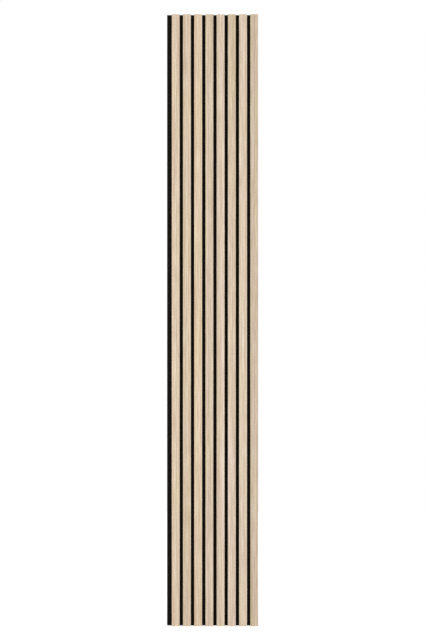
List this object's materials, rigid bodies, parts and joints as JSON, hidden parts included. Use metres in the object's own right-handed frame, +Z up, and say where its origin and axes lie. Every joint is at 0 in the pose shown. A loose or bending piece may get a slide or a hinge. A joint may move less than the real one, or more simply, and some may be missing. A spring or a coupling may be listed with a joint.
{
  "type": "slatted acoustic wall panel",
  "caption": "Tall slatted acoustic wall panel: narrow pale-oak veneered slats in a row on black felt, with a bare felt strip along one edge.",
  "frame": {"origin": "centre of the felt's back face, which lies on the wall", "axes": "+Z up along the slats, +Y out of the back face into the wall, so the slats face -Y; +X to the viewer's right as seen from the front"},
  "size_m": [0.402, 0.021, 2.7],
  "materials": {
    "oak_veneer": "pale straight-grained oak veneer, fine sanded, matt clear lacquer",
    "black_fibreboard": "medium-density fibreboard dyed black right through, sawn edges",
    "black_felt": "black needle-punched polyester felt, pressed to a board",
    "staple_wire": "flat galvanised staple wire"
  },
  "bodies": {
    "root": {"felt_board": "black_felt", "slat_staples": "staple_wire", "slat_core_1": "black_fibreboard", "slat_core_2": "black_fibreboard", "slat_core_3": "black_fibreboard", "slat_core_4": "black_fibreboard", "slat_core_5": "black_fibreboard", "slat_core_6": "black_fibreboard", "slat_core_7": "black_fibreboard", "slat_core_8": "black_fibreboard", "face_veneer_1": "oak_veneer", "face_veneer_2": "oak_veneer", "face_veneer_3": "oak_veneer", "face_veneer_4": "oak_veneer", "face_veneer_5": "oak_veneer", "face_veneer_6": "oak_veneer", "face_veneer_7": "oak_veneer", "face_veneer_8": "oak_veneer"}
  },
  "joints": []
}
